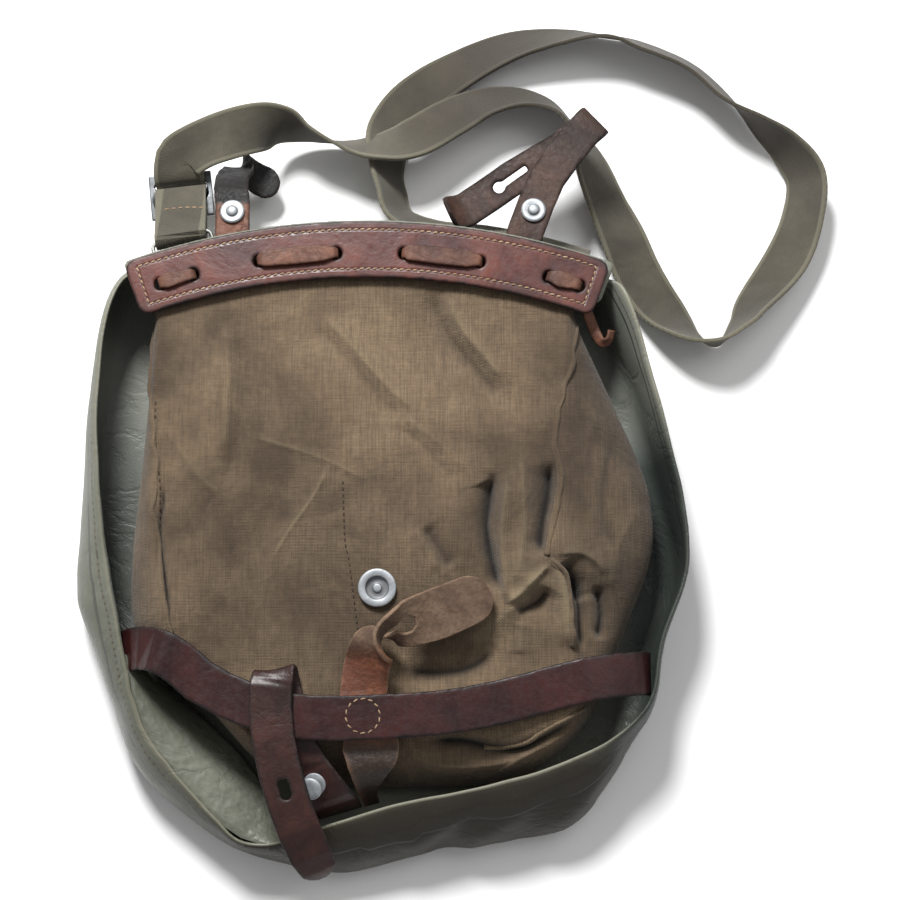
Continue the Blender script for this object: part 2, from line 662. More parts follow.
# Depth in mm, the widths in mm of the left and the right side for someone who walks the path, the path
FOLDS = [
    (-3.4, 4.5, 9.0, [(434, 285), (438, 312), (452, 337), (472, 362), (492, 388), (500, 404)], -0.375),
    (3.0, 12.0, 4.0, [(446, 286), (453, 312), (468, 336), (488, 360), (508, 388)]),
    (2.4, 10.0, 5.0, [(320, 312), (350, 345), (392, 392), (420, 415)]),
    (-2.0, 6.0, 10.0, [(312, 320), (342, 354), (384, 402), (410, 424)], -0.25),
    (2.6, 6.0, 10.0, [(226, 322), (229, 390), (224, 462)]),
    (-2.0, 10.0, 6.0, [(238, 325), (240, 395), (232, 458), (216, 500)], -0.25),
    (-2.0, 9.0, 5.0, [(393, 425), (420, 444), (441, 466), (455, 486)], -0.25),
    (1.5, 5.0, 9.0, [(402, 418), (430, 436), (452, 456), (466, 474)]),
    (-3.0, 7.0, 4.0, [(424, 526), (436, 545), (452, 570)], -0.5),
    (1.6, 3.5, 6.0, [(414, 528), (426, 550), (440, 574)]),
    (0.8, 2.2, 2.2, [(269, 566), (288, 532), (312, 498), (333, 460)], 3.0),
    (0.7, 2.2, 2.2, [(246, 436), (285, 446), (331, 462), (372, 484)], 2.4),
    (-2.0, 18.0, 14.0, [(300, 470), (270, 510), (236, 560), (222, 600)], 0.0),
    (1.4, 5.0, 6.0, [(158, 420), (180, 450), (205, 482), (232, 500)]),
    (-7.5, 3.2, 7.0, [(486, 474), (493, 479), (491, 490), (489, 505), (487, 526), (490, 548),
                      (496, 575), (501, 598)]),
    (4.4, 9.0, 2.6, [(508, 470), (504, 500), (501, 530), (501, 560), (504, 590), (507, 606)]),
    (3.0, 7.0, 7.0, [(520, 448), (523, 490), (524, 530), (518, 570), (512, 590)]),
    (-8.0, 3.0, 7.0, [(551, 462), (549, 495), (544, 520), (541, 545), (541, 562)]),
    (3.2, 12.0, 12.0, [(546, 574), (520, 604), (486, 628), (452, 644)]),
    (-3.0, 1.8, 1.2, [(161, 476), (163, 500), (160, 522), (161, 550), (166, 590), (170, 634)]),
    (3.8, 6.5, 2.0, [(504, 605), (516, 599), (531, 585), (542, 573), (552, 562)], 1.0),
    (-5.5, 2.4, 6.0, [(514, 611), (527, 607), (541, 598), (549, 584)]),
    (3.4, 1.8, 11.0, [(552, 561), (561, 570), (567, 583), (571, 606), (574, 652)], 1.2),
    (-5.0, 3.0, 1.8, [(570, 570), (575, 586), (579, 608), (580, 630), (582, 654)]),
    (2.2, 7.0, 2.0, [(555, 556), (575, 554), (590, 558), (600, 567), (604, 580)]),
    (-8.0, 8.0, 3.0, [(561, 563), (568, 575), (574, 589), (578, 606)]),
    (2.0, 4.0, 4.0, [(585, 580), (588, 600), (591, 625), (592, 652)]),
    (-6.5, 4.5, 2.6, [(596, 584), (600, 602), (601, 620), (597, 642)]),
    (1.4, 7.0, 5.0, [(600, 400), (588, 440), (584, 490), (602, 540)]),
    (-1.2, 7.0, 5.0, [(622, 420), (606, 470), (604, 520), (622, 560)]),
    (1.2, 6.0, 6.0, [(645, 500), (620, 545), (612, 590)]),
    (-2.4, 7.0, 7.0, [(400, 668), (440, 672), (476, 664), (500, 640)]),
    (1.6, 7.0, 7.0, [(520, 655), (522, 630), (524, 618)]),
    (-5.0, 3.0, 9.0, [(420, 742), (460, 739), (515, 748), (560, 728), (584, 712)]),
    (2.4, 4.0, 8.0, [(402, 752), (430, 764), (460, 768), (505, 763), (545, 747), (588, 720)]),
    (-7.0, 8.0, 8.0, [(352, 762), (372, 775), (392, 786), (402, 796)]),
    (-2.6, 4.0, 6.0, [(404, 778), (440, 788), (490, 784), (530, 770)]),
]


def to_places(path, height=PANEL_HEIGHT):
    return np.array([place_of(across, down, height) for across, down in path])


def spline(table, t):
    """A row between the rows of a table: t is 0 at the first row and grows by 1 for each row."""
    i = int(min(max(math.floor(t), 0), len(table) - 2))
    f = t - i
    a, b = table[max(i - 1, 0)], table[i]
    c, d = table[i + 1], table[min(i + 2, len(table) - 1)]
    return b + 0.5 * f * (c - a + f * (2 * a - 5 * b + 4 * c - d + f * (3 * (b - c) + d - a)))


def fine_path(table, columns):
    """A table rounded by a spline, and the distance run at each of its rows over the first columns."""
    fine = np.array([spline(table, k / 24) for k in range((len(table) - 1) * 24 + 1)])
    steps = np.linalg.norm(np.diff(fine[:, :columns], axis=0), axis=1)
    return fine, np.concatenate([[0], np.cumsum(steps)])


def rows_at(wanted, runs, fine):
    return np.stack([np.interp(wanted, runs, fine[:, k]) for k in range(fine.shape[1])], axis=1)


def even_path(path, step):
    """Points at even steps along a chain of x, y points, rounded by a spline."""
    fine, runs = fine_path(np.array(path), 2)
    return rows_at(np.arange(0, runs[-1], step), runs, fine)


def away_from(points, path):
    """Distance of each x, y from a chain of points, positive on its left, and the share along it."""
    best = np.full(len(points), 1e9)
    side = np.ones(len(points))
    share = np.zeros(len(points))
    steps = np.diff(path, axis=0)
    for index, (start, step) in enumerate(zip(path[:-1], steps)):
        along = np.clip(((points - start) @ step) / (step @ step + 1e-12), 0, 1)
        off = points - start - along[:, None] * step
        gap = np.linalg.norm(off, axis=1)
        closer = gap < best
        best[closer] = gap[closer]
        side[closer] = np.sign(step[0] * off[closer, 1] - step[1] * off[closer, 0] + 1e-15)
        share[closer] = (index + along[closer]) / len(steps)
    return best * side, share


def fold_shape(points, left, right, path):
    """How much of a fold's depth each point gets: 1 on its line, less on both sides, 0 past its ends."""
    gap, share = away_from(points, even_path(to_places(path), 0.002))
    wide = np.where(gap > 0, left, right) * MM
    fade = np.clip(np.minimum(share, 1 - share) * 5 + 0.1, 0, 1)
    return np.exp(-(np.abs(gap) / wide) ** 1.25 * 1.7) * fade * fade * (3 - 2 * fade)


print("folds:", len(FOLDS))

# %% Pouch mesh
pouch = show("bag_canvas", welded_copy("pouch"), canvas, ["pouch"], "canvas")
subdivided(pouch, 2)
work = bmesh.new()
work.from_mesh(pouch.data)
for longest in (0.0018, 0.0012):
    upper = [e for e in work.edges if e.calc_length() > longest
             and all(v.co.z > 0.028 and v.normal.z > 0.15 for v in e.verts)]
    bmesh.ops.subdivide_edges(work, edges=upper, cuts=1, use_grid_fill=True)
bmesh.ops.triangulate(work, faces=[f for f in work.faces if len(f.verts) > 4])
work.to_mesh(pouch.data)
work.free()
smooth(pouch.data)
print("pouch faces:", len(pouch.data.polygons))

# %% [markdown]
# The straps and the stud lie on the canvas, so no fold may rise into them. A ray is sent up from each
# point to find how much room it has.

# %% Room above the canvas
OVER_CANVAS = ["cross_strap", "centre_tongue", "closing_strap", "closing_stud", "pouch_stud",
               "leather_band", "lacing_thong", "band_facing"]
work = bmesh.new()
for node in OVER_CANVAS:
    work.from_mesh(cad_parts[node].data)
above = BVHTree.FromBMesh(work)
work.free()


def room_over(points, most=0.012):
    room = np.full(len(points), most)
    for i in np.nonzero(points[:, 2] > 0.02)[0]:
        spot, normal, index, distance = above.ray_cast(Vector(points[i]) - Vector((0, 0, 0.001)),
                                                       Vector((0, 0, 1)), most)
        if spot:
            room[i] = max(distance - 0.001, 0)
    return room


# %% Press in the folds
STUD_PLACE = (-0.0015, -0.0176)
mesh = pouch.data
points = points_of(mesh)
normals = normals_of(mesh)
flat = points[:, :2]
lift = np.zeros(len(points))
crease = np.zeros(len(points))
for deep, left, right, path, *own_stain in FOLDS:
    shape = fold_shape(flat, left, right, path)
    lift += deep * MM * shape
    stain = own_stain[0] if own_stain else RUBBED if deep > 0 else DIRTY
    crease += stain * min(1, abs(deep) / 3.0) * shape ** 1.8
rough = np.array([cloud(p, 0.036, 1.3) * 1.0 + cloud(p, 0.015, 4.1) * 0.45 + cloud(p, 0.006, 8.2) * 0.12
                  for p in points])
lift += rough * MM
crease += rough * 0.22
top_share = np.clip((points[:, 2] - 0.012) / 0.016, 0, 1)
calm = np.clip((np.hypot(flat[:, 0] - STUD_PLACE[0], flat[:, 1] - STUD_PLACE[1]) - 0.010) / 0.008, 0, 1)
mouth = np.clip((0.132 - flat[:, 1]) / 0.012, 0, 1)
lift = lift * top_share * calm * mouth
inner = (normals[:, 2] < 0) & (points[:, 2] > 0.024)
lift[inner] = np.minimum(lift[inner], 0) * 1.2 - 0.003
outer = ~inner
lift[outer] = np.minimum(lift[outer], np.maximum(room_over(points)[outer] - 0.0004, 0))
points[:, 2] += lift
move_to(mesh, points)
mark(mesh, "crease", np.clip(crease * top_share, -1, 1))
print("canvas height", round(points[:, 2].max() * 1000, 1), "mm")

# %% [markdown]
# ## Seams of the pouch
# The panel, side and bottom pieces are sewn with their edges outside, so each seam is a narrow raised
# lip with a shadow beside it. A ray from above finds the cloth's height for each point of a seam.

# %% Height of a mesh from above


def finder(thing):
    work = bmesh.new()
    work.from_mesh(thing.data)
    tree = BVHTree.FromBMesh(work)
    work.free()

    def height_at(x, y, fallback=0.045):
        spot, normal, index, distance = tree.ray_cast(Vector((x, y, 0.3)), Vector((0, 0, -1)))
        return (spot.z, normal) if spot else (fallback, Vector((0, 0, 1)))
    return height_at


canvas_height = finder(pouch)


# %% Lips along the seams
SEAM_LIPS = [
    {"name": "lip_left", "path": [(152, 318), (150, 350), (150, 390), (154, 440), (157, 485), (153, 510),
                                  (158, 535), (161, 585), (165, 612), (173, 640)]},
    {"name": "lip_right", "path": [(578, 322), (574, 345), (573, 362), (565, 386), (560, 405), (556, 430),
                                   (554, 448), (561, 476), (557, 505), (551, 532), (547, 558)]},
    {"name": "lip_fold", "path": [(551, 560), (566, 581), (571, 612), (573, 650)]},
    {"name": "lip_bottom", "path": [(588, 706), (570, 716), (553, 726), (538, 734), (522, 743), (506, 746),
                                    (484, 747)]},
]
# Section of a lip: shares of its width to the side and of its rise
LIP_SECTION = ((-0.60, -0.9), (-0.52, 0.2), (-0.36, 0.8), (-0.10, 1.0), (0.12, 0.75), (0.22, 0.2),
               (0.34, 0.45), (0.50, 0.1), (0.60, -0.9))


def lip(name, path, width=0.0026, rise=0.0014):
    spots = even_path(to_places(path), 0.0015)
    work = bmesh.new()
    rings = []
    for i, (x, y) in enumerate(spots):
        before, after = spots[max(i - 1, 0)], spots[min(i + 1, len(spots) - 1)]
        along = Vector((after[0] - before[0], after[1] - before[1], 0)).normalized()
        side = Vector((along.y, -along.x, 0))
        z, normal = canvas_height(x, y)
        wobble = 0.0011 * noise.noise(Vector((x * 130, y * 130, 3)))
        swell = 1 + 0.5 * noise.noise(Vector((x * 90, y * 90, 7)))
        ring = []
        for across, up in LIP_SECTION:
            edge = Vector((x + wobble, y, 0)) + side * across * width * swell
            ring.append(work.verts.new((edge.x, edge.y, z + up * rise * swell)))
        rings.append(ring)
    bridge(work, rings)
    show(name, mesh_from(work, name), canvas_lip, slot="canvas")


for row in SEAM_LIPS:
    lip(row["name"], row["path"])
print("seam lips:", len(SEAM_LIPS))

# %% [markdown]
# ## Stitches
# A stitch is a short thread that dips into the cloth at both ends. One mesh holds a whole row:
# each stitch is a small spindle laid along the row, turned a little, as saddle stitches are.

# %% Rows of stitches


def stitches(name, spots, material, length, width, slant=0.0, slot=None):
    """spots is a list of (place, direction, normal) vectors, one for each stitch."""
    work = bmesh.new()
    profile = ((-0.5, 0.25), (-0.36, 0.8), (0.0, 1.0), (0.36, 0.8), (0.5, 0.25))
    for place, along, normal in spots:
        along = (Matrix.Rotation(slant, 3, normal) @ along).normalized()
        side = normal.cross(along).normalized()
        rings = []
        for share, fat in profile:
            dip = (1 - fat) * width * 0.9
            middle = place + along * share * length + normal * (width * 0.22 - dip)
            ring = []
            for k in range(6):
                angle = k * math.pi / 3
                off = side * math.cos(angle) * fat * width / 2 + normal * math.sin(angle) * fat * width / 2
                ring.append(work.verts.new(middle + off))
            rings.append(ring)
        bridge(work, rings)
    show(name, mesh_from(work, name), material, slot=slot)


def on_cloth(path, pitch, height_at):
    spots = even_path(path, pitch)
    found = []
    for i in range(len(spots) - 1):
        x, y = (spots[i] + spots[i + 1]) / 2
        z, normal = height_at(x, y)
        z0 = height_at(*spots[i])[0]
        z1 = height_at(*spots[i + 1])[0]
        along = Vector((spots[i + 1][0] - spots[i][0], spots[i + 1][1] - spots[i][1], z1 - z0))
        if along.length < 2.5 * pitch:
            found.append((Vector((x, y, z)), along.normalized(), normal))
    return found


CENTRE_LINE = [(343, 480), (345, 540), (349, 560), (354, 600), (359, 640), (361, 655)]
LEFT_SEAM_LINE = [(156, 400), (156, 440), (160, 480), (160, 530), (164, 585), (168, 615), (176, 640)]
stitches("centre_seam", on_cloth(to_places(CENTRE_LINE), 0.0030, canvas_height), dark_thread,
         0.0022, 0.0007, slot="canvas")
stitches("side_seam", on_cloth(to_places(LEFT_SEAM_LINE), 0.0034, canvas_height), dark_thread,
         0.0024, 0.0007, slot="canvas")
print("pouch stitches made")

# %% [markdown]
# ## The coated flap
# The flap is one sheet that curls up round the pouch. Its copy is subdivided and gets shallow folds in
# its walls. Two marks are stored for the hem: millimetres below the rim, and millimetres round it.

# %% Flap mesh
flap = show("bag_flap", welded_copy("flap_shell"), coated, ["flap_shell"], "coated_cloth")
subdivided(flap, 2)
mesh = flap.data
points = points_of(mesh)
normals = normals_of(mesh)
angles = np.arctan2(points[:, 1], points[:, 0])
BINS = 240
FAR_BELOW = 20.0
cell = ((angles + math.pi) / (2 * math.pi) * BINS).astype(int) % BINS
rim = np.zeros(BINS)
np.maximum.at(rim, cell, points[:, 2])
filled = rim > 0
rim = np.interp(np.arange(BINS), np.arange(BINS)[filled], rim[filled])
rim = np.convolve(np.concatenate([rim[-3:], rim, rim[:3]]), np.ones(7) / 7, "valid")


def rim_at(angle):
    """Height of the rim at an angle round the bag."""
    where = (angle + math.pi) / (2 * math.pi) * BINS - 0.5
    return np.interp(where, np.arange(-1, BINS + 1), np.concatenate([rim[-1:], rim, rim[:1]]))


rim_here = rim_at(angles)
mark(mesh, "below_rim", (rim_here - points[:, 2]) * 1000)
radius = np.hypot(points[:, 0], points[:, 1])
mark(mesh, "around", angles * 140)
facing_out = (normals[:, :2] * points[:, :2]).sum(1) / np.maximum(radius, 1e-6)
mark(mesh, "outside", np.clip(facing_out * 4 + 0.2, 0, 1))
mark(mesh, "lining", 1 - np.clip(facing_out * 4 + 0.2, 0, 1))
print("rim height:", round(rim.min() * 1000, 1), "to", round(rim.max() * 1000, 1), "mm")

# %% Folds in the flap's walls
# Width and depth in mm, height over the floor in metres, and the path in photo pixels
WALL_FOLDS = [
    (7.0, 1.6, 0.024, [(412, 842), (455, 815)]),
    (6.0, -1.4, 0.024, [(440, 848), (478, 818)]),
    (8.0, 1.8, 0.024, [(470, 845), (520, 800)]),
    (6.0, -1.5, 0.024, [(520, 840), (560, 790)]),
    (9.0, 1.6, 0.024, [(560, 825), (615, 760)]),
    (7.0, -1.3, 0.024, [(600, 795), (645, 735)]),
    (7.0, 1.3, 0.024, [(84, 600), (118, 690)]),
    (6.0, -1.2, 0.024, [(95, 590), (128, 680)]),
    (7.0, 1.4, 0.028, [(160, 690), (215, 745), (245, 800)]),
    (6.0, -1.4, 0.028, [(145, 705), (190, 755), (225, 815)]),
]
flat = points[:, :2]
push = np.zeros(len(points))
for wide, deep, level, path in WALL_FOLDS:
    gap = away_from(flat, even_path(to_places(path, level), 0.002))[0]
    push += deep * MM * np.exp(-(gap / (wide * MM)) ** 2 * 2)
rough = np.array([cloud(p, 0.035, 7.7) * 0.9 + cloud(p, 0.014, 2.2) * 0.35 for p in points])
ridges = np.array([1 - abs(cloud(p, 0.011, 5.5)) * 2.2 for p in points])
wrinkled = np.clip((-0.055 - flat[:, 1]) / 0.02, 0, 1) * np.clip((0.0 - flat[:, 0]) / 0.03, 0, 1)
rough += ridges * wrinkled * 0.3
push += rough * MM
wall_share = np.clip((points[:, 2] - 0.004) / 0.010, 0, 1)
under_band = np.clip((0.110 - flat[:, 1]) / 0.015, 0, 1)
outward = np.zeros_like(points)
outward[:, :2] = flat / np.maximum(radius, 1e-6)[:, None]
points += outward * (push * wall_share * under_band)[:, None]
points += np.array([0, 0, 1.0]) * (rough * MM * 0.4 * wall_share * under_band)[:, None]
move_to(mesh, points)
print("flap faces:", len(mesh.polygons))

# %% [markdown]
# At the lower left the flap's inner side is pushed up and shows as a wide, bright swelling between the
# rim and the pouch. It hangs from just under the rim and slopes down under the straps, and its coat
# is creased like thin leather.

# %% Swelling of the flap's inner side
SWELL_RIM = [(122, 652), (130, 692), (138, 721), (150, 750), (170, 778), (193, 803), (216, 824),
             (238, 839), (263, 847), (288, 846)]
SWELL_FOOT = [(150, 668), (172, 690), (194, 710), (216, 730), (238, 752), (256, 775), (268, 796),
              (277, 812), (284, 826), (292, 838)]
FOOT_HEIGHT = 0.013
SWELL_ROWS, SWELL_STEPS, SWELL_THICK, RIM_LEVEL, UNDER_RIM = 150, 90, 0.0012, 0.037, 0.0018


def even_line(path, count):
    shares = np.linspace(0, len(path) - 1, count)
    return np.stack([np.interp(shares, range(len(path)), np.array(path)[:, k]) for k in (0, 1)], axis=1)


def swell_row(rim_px, foot_px, drop):
    """Places from just under the rim down to the foot, with the wrinkles of the coat."""
    x0, y0 = place_of(*rim_px, RIM_LEVEL)
    x1, y1 = place_of(*foot_px, FOOT_HEIGHT)
    rise = rim_at(math.atan2(y0, x0)) - UNDER_RIM - FOOT_HEIGHT
    row = []
    for share in np.linspace(0, 1, SWELL_STEPS):
        spot = Vector((x0 + (x1 - x0) * share, y0 + (y1 - y0) * share, 0))
        spot.z = FOOT_HEIGHT + rise * math.cos(share * math.pi / 2) ** 0.9
        wrinkle = (1 - abs(cloud(spot, 0.007, 5.5)) * 2) * 0.00035 + cloud(spot, 0.03, 1.9) * 0.0009
        wrinkle += (1 - abs(cloud(spot, 0.0030, 9.5)) * 2) * 0.00022
        spot.z += wrinkle * min(1, share * 8) - drop
        row.append(spot)
    return row


def swelling():
    lines = list(zip(even_line(SWELL_RIM, SWELL_ROWS), even_line(SWELL_FOOT, SWELL_ROWS)))
    work = bmesh.new()
    sheets = []
    for drop in (0, SWELL_THICK):
        sheets.append([[work.verts.new(spot) for spot in swell_row(*ends, drop)] for ends in lines])
        bridge(work, sheets[-1], closed=False)
    top, under = sheets
    for i in range(SWELL_ROWS - 1):
        for k in (0, -1):
            work.faces.new((top[i][k], top[i + 1][k], under[i + 1][k], under[i][k]))
    for i in (0, -1):
        for k in range(SWELL_STEPS - 1):
            work.faces.new((top[i][k], top[i][k + 1], under[i][k + 1], under[i][k]))
    made = mesh_from(work, "flap_swelling")
    mark(made, "below_rim", np.full(len(made.vertices), FAR_BELOW))
    return show("flap_swelling", made, coated, slot="coated_cloth")


swell = swelling()
print("swelling faces:", len(swell.data.polygons))

# %% [markdown]
# ## The leather band, its facing and the thong
# The band is a flat arc with eight slots. It is rebuilt from small cubes, which rounds its edges as
# wear does, and its edge mark lets the material darken them.

# %% Band, facing and thong
band = show("band", welded_copy("leather_band", join=False), band_leather, ["leather_band"], "band_leather")
rounded_by_voxels(band, 0.0006, 5)
mark_edges(band.data, 1.4, 5)
facing = show("facing", welded_copy("band_facing", join=False), coated, ["band_facing"], "coated_cloth")
rounded_by_voxels(facing, 0.0007, 3)
mark(facing.data, "below_rim", np.full(len(facing.data.vertices), FAR_BELOW))
thong = show("thong", welded_copy("lacing_thong", join=False), thong_leather, ["lacing_thong"],
             "thong_leather")
rounded_by_voxels(thong, 0.0005, 6)
mark_edges(thong.data, 1.0, 3)
print("band faces:", len(band.data.polygons), "thong faces:", len(thong.data.polygons))

# %% [markdown]
# The band's stitches run all the way round, a few millimetres inside its edge. The path is an arc, a
# short end, the inner arc and the other end.

# %% Band stitches
BAND_TOP = 0.0483
BAND_OUTER = 0.33978
BAND_INNER = BAND_OUTER - 0.028
BAND_CENTRE = (-0.0075, -0.17978)
BAND_HALF_ANGLE = 0.35342
INSET = 0.0042
END_INSET = 0.0058


def on_arc(angle, reach):
    return (BAND_CENTRE[0] + reach * math.sin(angle), BAND_CENTRE[1] + reach * math.cos(angle))


def band_path():
    outer, inner = BAND_OUTER - INSET, BAND_INNER + INSET
    last = BAND_HALF_ANGLE - END_INSET / BAND_OUTER
    corners = [on_arc(a, outer) for a in np.linspace(-last, last, 60)]
    corners += [on_arc(last, outer + (inner - outer) * f) for f in (0.34, 0.67)]
    corners += [on_arc(a, inner) for a in np.linspace(last, -last, 60)]
    corners += [on_arc(-last, inner + (outer - inner) * f) for f in (0.34, 0.67, 1.0)]
    return np.array(corners)


def band_row(pitch):
    path = band_path()
    runs = np.concatenate([[0], np.cumsum(np.linalg.norm(np.diff(path, axis=0), axis=1))])
    count = round(runs[-1] / pitch)
    spots = []
    for k in range(count):
        ends = (np.array([-0.3, 0.3]) + k + 0.5) / count * runs[-1]
        (x0, y0), (x1, y1) = rows_at(ends, runs, path)
        middle = Vector(((x0 + x1) / 2, (y0 + y1) / 2, BAND_TOP - 0.00005))
        spots.append((middle, Vector((x1 - x0, y1 - y0, 0)).normalized(), Vector((0, 0, 1))))
    return spots


seam_gap = np.abs(away_from(points_of(band.data)[:, :2], band_path())[0])
mark(band.data, "seam", np.clip(1 - seam_gap / 0.0009, 0, 1))
row = band_row(0.0032)
stitches("band_stitches", row, tan_thread, 0.0026, 0.00095, slant=0.2, slot="band_leather")
print("band stitches:", len(row))

# %% [markdown]
# ## Leather straps
# Belt tab, belt loop, cross strap and closing strap are made in the same way as the band.

# %% Straps
STRAPS = [
    {"name": "belt_tab", "node": "belt_tab_left", "finish": tab_leather, "slot": "dark_leather"},
    {"name": "belt_loop", "node": "belt_loop_right", "finish": dark_leather, "slot": "dark_leather"},
    {"name": "cross_leather", "node": "cross_strap", "finish": strap_leather, "slot": "strap_leather"},
    {"name": "closing_leather", "node": "closing_strap", "finish": closing_leather,
     "slot": "strap_leather"},
]
straps = {}
for row in STRAPS:
    mesh = welded_copy(row["node"], join=False)
    piece = show(row["name"], mesh, row["finish"], [row["node"]], row["slot"])
    rounded_by_voxels(piece, 0.0006, 10)
    mark_edges(piece.data, 1.3, 4)
    straps[row["node"]] = piece
    print(row["name"], len(piece.data.polygons), "faces")

# %% [markdown]
# ## The webbing strap
# The strap is a long flat tape. It is built again along the same route as its solid, with closer
# sections and rounded edges, so that its weave can follow it.

# %% Route of the webbing
BODY_WIDTH, BODY_LENGTH, TAPE_WIDTH, TAPE_THICK = 300, 320, 25, 2.0
BUCKLE_MIDDLE = Vector((-101.1, 179.84, 25.98))
BUCKLE_LEAN = 6.5
# Along and beside the slide and up from its middle, in mm, and the swing in degrees
BUCKLE_EXIT = [(4.6, 0, -6.2, 0), (6.7, 0, -2.0, 0), (7.1, 0, 1.4, 0), (10.0, 0, 4.0, 2),
               (14.2, 0.8, 5.4, 14), (18.2, 3.0, 6.6, 30)]
# x and y as shares of the body's width and length, height as a share of the tape's width, tilt in degrees
STRAP_ROUTE = [
    (-0.290, 0.640, 1.42, 4), (-0.228, 0.661, 1.36, 24), (-0.182, 0.675, 1.04, 55),
    (-0.140, 0.672, 0.76, 88), (-0.069, 0.658, 0.60, 116), (-0.001, 0.652, 0.80, 143),
    (0.050, 0.662, 0.88, 160), (0.108, 0.697, 0.76, 160), (0.163, 0.726, 0.64, 145),
    (0.219, 0.738, 0.56, 132), (0.270, 0.729, 0.53, 120), (0.307, 0.701, 0.53, 108),
    (0.332, 0.665, 0.50, 120), (0.351, 0.621, 0.42, 140), (0.375, 0.564, 0.36, 150),
    (0.402, 0.509, 0.28, 165), (0.427, 0.452, 0.22, 172), (0.462, 0.398, 0.26, 160),
    (0.507, 0.350, 0.48, 118), (0.556, 0.338, 0.56, 95), (0.595, 0.371, 0.52, 112),
    (0.618, 0.405, 0.46, 130), (0.672, 0.472, 0.34, 150), (0.701, 0.536, 0.38, 140),
    (0.710, 0.603, 0.46, 130), (0.679, 0.651, 0.54, 113), (0.634, 0.689, 0.56, 92),
    (0.581, 0.734, 0.54, 65), (0.518, 0.791, 0.50, 62), (0.434, 0.827, 0.50, 61), (0.374, 0.842, 0.52, 68),
    (0.297, 0.843, 0.45, 52), (0.211, 0.829, 0.36, 35), (0.126, 0.794, 0.25, 20), (0.048, 0.747, 0.12, 0),
    (0.006, 0.688, 0.24, -20), (0.000, 0.629, 0.42, -48), (0.009, 0.588, 0.52, -55)
]
# Share of the band's half angle, mm beyond its outer edge, height as a share of the tape's width
STRAP_TUCK = [(0.120, 14.0, 0.66), (0.260, 5.5, 0.92), (0.480, 4.8, 1.06), (0.700, 4.8, 1.06),
              (0.905, 4.8, 1.06)]
TUCK_TILT = -56


def strap_rows():
    """For each section: x, y and height in mm, tilt and turn in degrees."""
    lean = math.radians(BUCKLE_LEAN)
    along, across = Vector((-math.sin(lean), math.cos(lean), 0)), Vector((math.cos(lean), math.sin(lean), 0))
    rows = []
    for ahead, beside, up, swing in BUCKLE_EXIT:
        spot = BUCKLE_MIDDLE + along * ahead + across * beside + Vector((0, 0, up))
        rows.append([*spot, 0.0, 180 + BUCKLE_LEAN - swing])
    for x, y, lift, tilt in STRAP_ROUTE:
        rows.append([x * BODY_WIDTH, y * BODY_LENGTH, lift * TAPE_WIDTH, tilt, None])
    for share, beyond, lift in STRAP_TUCK:
        x, y = on_arc(share * BAND_HALF_ANGLE, BAND_OUTER + beyond * MM)
        rows.append([x / MM, y / MM, lift * TAPE_WIDTH, TUCK_TILT, None])
    last = None
    for i, row in enumerate(rows):
        a, b = rows[max(0, i - 1)], rows[min(len(rows) - 1, i + 1)]
        turn = row[4] if row[4] is not None else math.degrees(math.atan2(b[1] - a[1], b[0] - a[0])) + 90
        if last is not None:
            turn += round((last - turn) / 360) * 360
        row[4] = last = turn
    return np.array(rows, dtype=float)


rows = strap_rows()
print("strap rows:", len(rows))

# %% Tape along the route


def tape_sections(table, step):
    """Sections at even steps in millimetres: centre, width direction and up direction."""
    fine, runs = fine_path(table, 3)
    wanted = np.linspace(0, runs[-1], int(runs[-1] / step))
    spots = rows_at(wanted, runs, fine)
    made = []
    for i, spot in enumerate(spots):
        along = Vector(spots[min(i + 1, len(spots) - 1)][:3] - spots[max(i - 1, 0)][:3]).normalized()
        tilt, turn = math.radians(spot[3]), math.radians(spot[4])
        across = Vector((math.cos(tilt) * math.cos(turn), math.cos(tilt) * math.sin(turn), math.sin(tilt)))
        across = (across - along * across.dot(along)).normalized()
        made.append((wanted[i], Vector(spot[:3]), across, along.cross(across)))
    return made


# Section of the tape, as shares of its half width and half thickness; the edges are a little thicker
TAPE_SECTION = [(-1.0, -0.5), (-0.985, -0.95), (-0.90, -1.0), (-0.80, -0.86), (-0.4, -0.8), (0.0, -0.8),
                (0.4, -0.8), (0.80, -0.86), (0.90, -1.0), (0.985, -0.95), (1.0, -0.5),
                (1.0, 0.5), (0.985, 0.95), (0.90, 1.0), (0.80, 0.86), (0.4, 0.8), (0.0, 0.8), (-0.4, 0.8),
                (-0.80, 0.86), (-0.90, 1.0), (-0.985, 0.95), (-1.0, 0.5)]


def tape_mesh(name, sections, width, thick, material, nodes, slot):
    work = bmesh.new()
    uv = work.loops.layers.uv.new("tape")
    rings, marks = [], {}
    for along, centre, across, up in sections:
        ring = []
        waver = 0.25 * noise.noise(Vector((along / 17, 4, 9)))
        for side, height in TAPE_SECTION:
            ripple = 0.10 * noise.noise(Vector((along / 6, side * 3, 1)))
            spot = centre + across * (side * width / 2 + waver * 0.5) + up * (height * thick / 2 + ripple)
            point = work.verts.new(spot * MM)
            marks[point] = (side * width / 2 * MM, along * MM)
            ring.append(point)
        rings.append(ring)
    bridge(work, rings)
    bmesh.ops.recalc_face_normals(work, faces=work.faces)
    for face in work.faces:
        for loop in face.loops:
            loop[uv].uv = marks[loop.vert]
    return show(name, mesh_from(work, name), material, nodes, slot)


sections = tape_sections(rows, 1.6)
strap = tape_mesh("strap_tape", sections, TAPE_WIDTH - 0.4, TAPE_THICK, webbing, ["shoulder_strap"],
                  "webbing")
print("strap length:", round(sections[-1][0]), "mm, faces:", len(strap.data.polygons))

